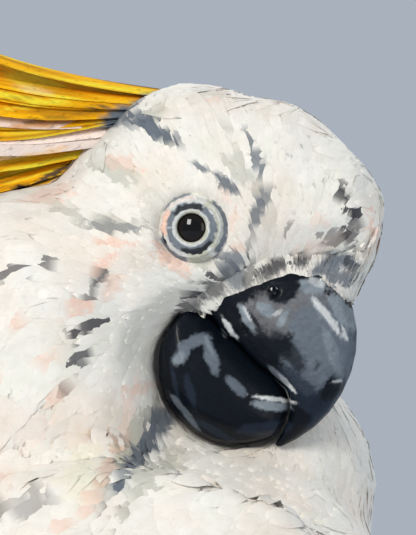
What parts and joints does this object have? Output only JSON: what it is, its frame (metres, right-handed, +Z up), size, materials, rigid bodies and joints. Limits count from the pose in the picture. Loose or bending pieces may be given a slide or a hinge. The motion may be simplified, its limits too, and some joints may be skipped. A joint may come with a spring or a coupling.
{
  "type": "cockatoo, sulphur-crested, standing",
  "caption": "Life-size white cockatoo standing on its own feet, head drawn in and turned slightly right, grey-black bill, yellow crest laid back, folded wings and square tail.",
  "frame": {"origin": "centre of the bird's bounding box, on the floor", "axes": "+X forwards along the body, +Y to the bird's left, +Z up"},
  "size_m": [0.4086, 0.129, 0.3183],
  "materials": {
    "plumage": "soft, matte",
    "crest": "soft, matte",
    "bill": "horn, satin with a dusty bloom at the base",
    "cere": "bare skin, matte",
    "eye": "wet, mirror-like",
    "eye_ring": "bare folded skin, matte",
    "leg": "scaly, matte",
    "claw": "horn, satin"
  },
  "bodies": {
    "root": {"bill_lower": "bill", "bill_upper": "bill", "cere": "cere", "claw_back_inner_left": "claw", "claw_back_inner_right": "claw", "claw_back_outer_left": "claw", "claw_back_outer_right": "claw", "claw_front_inner_left": "claw", "claw_front_inner_right": "claw", "claw_front_outer_left": "claw", "claw_front_outer_right": "claw", "crest": "crest", "eye_left": "eye", "eye_right": "eye", "eye_ring_left": "eye_ring", "eye_ring_right": "eye_ring", "head": "plumage", "neck": "plumage", "primaries_left": "plumage", "primaries_right": "plumage", "secondaries_left": "plumage", "secondaries_right": "plumage", "tail": "plumage", "tarsus_left": "leg", "tarsus_right": "leg", "thigh_left": "plumage", "thigh_right": "plumage", "toe_back_inner_left": "leg", "toe_back_inner_right": "leg", "toe_back_outer_left": "leg", "toe_back_outer_right": "leg", "toe_front_inner_left": "leg", "toe_front_inner_right": "leg", "toe_front_outer_left": "leg", "toe_front_outer_right": "leg", "trunk": "plumage", "wing_coverts_left": "plumage", "wing_coverts_right": "plumage"}
  },
  "joints": []
}
